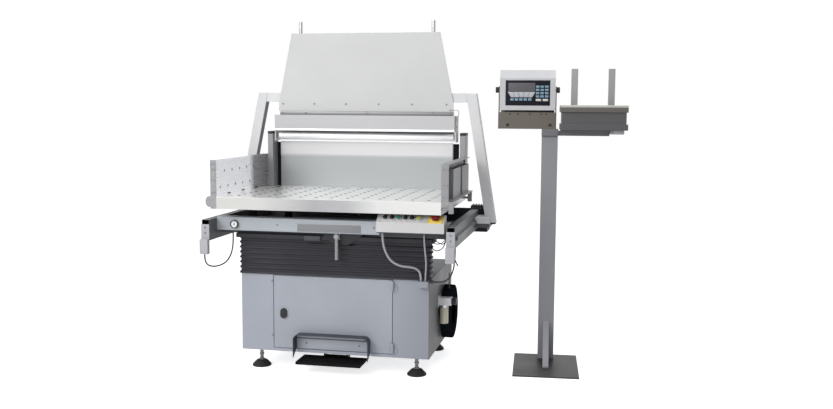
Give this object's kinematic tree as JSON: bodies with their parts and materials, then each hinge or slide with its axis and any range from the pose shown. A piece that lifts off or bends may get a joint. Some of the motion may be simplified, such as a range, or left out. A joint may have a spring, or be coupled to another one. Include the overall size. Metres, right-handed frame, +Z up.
{
  "type": "paper jogging machine",
  "caption": "Tilting vibrating air table for squaring paper piles, with a roller gantry that presses air out, on a cabinet, and its counting scale on a stand",
  "frame": {"origin": "on the floor, in the middle of the machine's four feet", "axes": "+X along the front to the right, +Y from the front to the back, +Z up"},
  "size_m": [2.1341, 0.971, 1.78],
  "materials": {
    "cabinet_paint": "light grey enamel",
    "frame_paint": "light blue grey enamel",
    "dark_paint": "dark grey enamel",
    "stainless": "polished stainless sheet",
    "machined_steel": "ground steel",
    "chrome": "bright chrome",
    "aluminium": "satin aluminium",
    "black_rubber": "black rubber",
    "bellows_cloth": "coated charcoal cloth",
    "black_plastic": "black plastic",
    "white_plastic": "off-white plastic",
    "grey_plastic": "light grey conduit",
    "green_plastic": "green button",
    "yellow_plastic": "yellow button",
    "red_plastic": "red mushroom",
    "amber_plastic": "clear yellowish bowl"
  },
  "bodies": {
    "base": {"cabinet_shell": "cabinet_paint", "foot_pads": "black_rubber", "foot_studs": "chrome", "pedal_bracket": "dark_paint", "blower_housing": "black_plastic", "filter_body": "aluminium", "filter_bowl": "amber_plastic", "pivot_trestle": "dark_paint", "tilt_cylinder": "aluminium", "bellows": "bellows_cloth", "stand_frame": "cabinet_paint", "scale_body": "dark_paint", "scale_pan": "stainless", "indicator_bracket": "stainless", "long_conduit": "grey_plastic", "short_conduit": "grey_plastic", "right_cable": "black_plastic"},
    "door": {"cabinet_door": "cabinet_paint", "foot_guard": "black_plastic"},
    "latch": {"door_latch": "black_plastic"},
    "pedal": {"pedal_plate": "black_plastic"},
    "impeller": {"blower_impeller": "aluminium"},
    "regulator": {"regulator_knob": "black_plastic"},
    "tilt_ram": {"tilt_rod": "chrome"},
    "upper_frame": {"front_beam": "frame_paint", "left_side_beam": "dark_paint", "right_side_beam": "dark_paint", "deck_plate": "dark_paint", "gauge_case": "black_plastic", "control_box": "frame_paint", "sensor_brackets": "frame_paint", "travel_motor": "dark_paint", "rubber_mounts": "black_rubber", "left_sensor_cable": "black_plastic"},
    "needle": {"gauge_needle": "black_plastic"},
    "switch_1": {"selector_1": "black_plastic"},
    "switch_2": {"selector_2": "black_plastic"},
    "switch_3": {"selector_3": "black_plastic"},
    "switch_4": {"selector_4": "black_plastic"},
    "green": {"green_button": "green_plastic"},
    "yellow": {"yellow_button": "yellow_plastic"},
    "estop": {"estop_button": "red_plastic"},
    "knee": {"knee_lever": "chrome"},
    "table": {"table_top": "stainless", "rear_plate": "stainless", "left_fence": "stainless", "corner_posts": "aluminium", "vibrator_motor": "dark_paint"},
    "rotor": {"vibrator_rotor": "machined_steel"},
    "side_fence": {"right_fence": "stainless"},
    "gantry": {"crossbar": "frame_paint", "left_leg": "frame_paint", "right_leg": "frame_paint", "roller_board": "frame_paint", "lift_cylinder": "aluminium"},
    "press": {"roller_hood": "stainless", "head_rods": "chrome"},
    "roller": {"press_roller": "aluminium"},
    "indicator": {"indicator_case": "white_plastic"},
    "clamps": {"clamp_knobs": "black_plastic"}
  },
  "joints": [
    {"name": "door_swing", "type": "hinge", "parent": "base", "child": "door", "pos_m": [0.299, -0.338, 0.3], "axis": [0, 0, 1], "range_deg": [0, 100]},
    {"name": "latch_turn", "type": "hinge", "parent": "door", "child": "latch", "pos_m": [-0.258, -0.33, 0.294], "axis": [0, -1, 0], "range_deg": [0, 90]},
    {"name": "pedal_press", "type": "hinge", "parent": "base", "child": "pedal", "pos_m": [-0.02, -0.206, 0.055], "axis": [1, 0, 0], "range_deg": [0, 8], "stiffness_Nm_per_rad": 200},
    {"name": "blower_spin", "type": "hinge", "parent": "base", "child": "impeller", "pos_m": [0.5, 0.11, 0.25], "axis": [1, 0, 0], "continuous": true},
    {"name": "regulator_turn", "type": "hinge", "parent": "base", "child": "regulator", "pos_m": [0.558, -0.058, 0.337], "axis": [1, 0, 0], "range_deg": [0, 270]},
    {"name": "table_tilt", "type": "hinge", "parent": "base", "child": "upper_frame", "pos_m": [0, 0, 0.56], "axis": [-1, 0, 0], "range_deg": [0, 12], "deforming": ["bellows", "long_conduit", "short_conduit", "right_cable"]},
    {"name": "tilt_ram_lift", "type": "slide", "parent": "base", "child": "tilt_ram", "axis": [0, 0, 1], "range_m": [0, 0.0256]},
    {"name": "needle_swing", "type": "hinge", "parent": "upper_frame", "child": "needle", "pos_m": [-0.489, -0.397, 0.742], "axis": [0, 1, 0], "range_deg": [-120, 120]},
    {"name": "selector_1_turn", "type": "hinge", "parent": "upper_frame", "child": "switch_1", "pos_m": [0.285, -0.429, 0.7985], "axis": [0, -0.6178, 0.7863], "range_deg": [-45, 45]},
    {"name": "selector_2_turn", "type": "hinge", "parent": "upper_frame", "child": "switch_2", "pos_m": [0.3174, -0.429, 0.7985], "axis": [0, -0.6178, 0.7863], "range_deg": [-45, 45]},
    {"name": "selector_3_turn", "type": "hinge", "parent": "upper_frame", "child": "switch_3", "pos_m": [0.3822, -0.429, 0.7985], "axis": [0, -0.6178, 0.7863], "range_deg": [-45, 45]},
    {"name": "selector_4_turn", "type": "hinge", "parent": "upper_frame", "child": "switch_4", "pos_m": [0.4146, -0.429, 0.7985], "axis": [0, -0.6178, 0.7863], "range_deg": [-45, 45]},
    {"name": "green_press", "type": "slide", "parent": "upper_frame", "child": "green", "axis": [0, 0.6178, -0.7863], "range_m": [0, 0.004], "stiffness_N_per_m": 800},
    {"name": "yellow_press", "type": "slide", "parent": "upper_frame", "child": "yellow", "axis": [0, 0.6178, -0.7863], "range_m": [0, 0.004], "stiffness_N_per_m": 800},
    {"name": "estop_press", "type": "slide", "parent": "upper_frame", "child": "estop", "axis": [0, 0.6178, -0.7863], "range_m": [0, 0.005], "stiffness_N_per_m": 1500},
    {"name": "knee_swing", "type": "hinge", "parent": "upper_frame", "child": "knee", "pos_m": [0.029, -0.374, 0.694], "axis": [0, 1, 0], "range_deg": [-20, 20], "stiffness_Nm_per_rad": 6},
    {"name": "table_jog", "type": "slide", "parent": "upper_frame", "child": "table", "axis": [1, 0, 0], "range_m": [-0.003, 0.003], "stiffness_N_per_m": 200000},
    {"name": "vibrator_spin", "type": "hinge", "parent": "table", "child": "rotor", "pos_m": [0, -0.1, 0.812], "axis": [1, 0, 0], "continuous": true},
    {"name": "fence_shift", "type": "slide", "parent": "table", "child": "side_fence", "axis": [-1, 0, 0], "range_m": [0, 0.03]},
    {"name": "gantry_travel", "type": "slide", "parent": "upper_frame", "child": "gantry", "axis": [0, -1, 0], "range_m": [0, 0.5]},
    {"name": "press_lower", "type": "slide", "parent": "gantry", "child": "press", "axis": [0, 0, -1], "range_m": [0, 0.2]},
    {"name": "roller_spin", "type": "hinge", "parent": "press", "child": "roller", "pos_m": [0, 0.235, 1.1635], "axis": [1, 0, 0], "continuous": true},
    {"name": "indicator_tilt", "type": "hinge", "parent": "base", "child": "indicator", "pos_m": [1.01023, 0.17866, 1.413], "axis": [0.9976, 0.0698, 0], "range_deg": [-8, 8]},
    {"name": "clamp_turn", "type": "hinge", "parent": "indicator", "child": "clamps", "pos_m": [1.01023, 0.17866, 1.413], "axis": [0.9976, 0.0698, 0], "range_deg": [0, 120]}
  ],
  "couplings": [
    {"joint": "tilt_ram_lift", "follows": "table_tilt", "m_per_rad": 0.122}
  ]
}
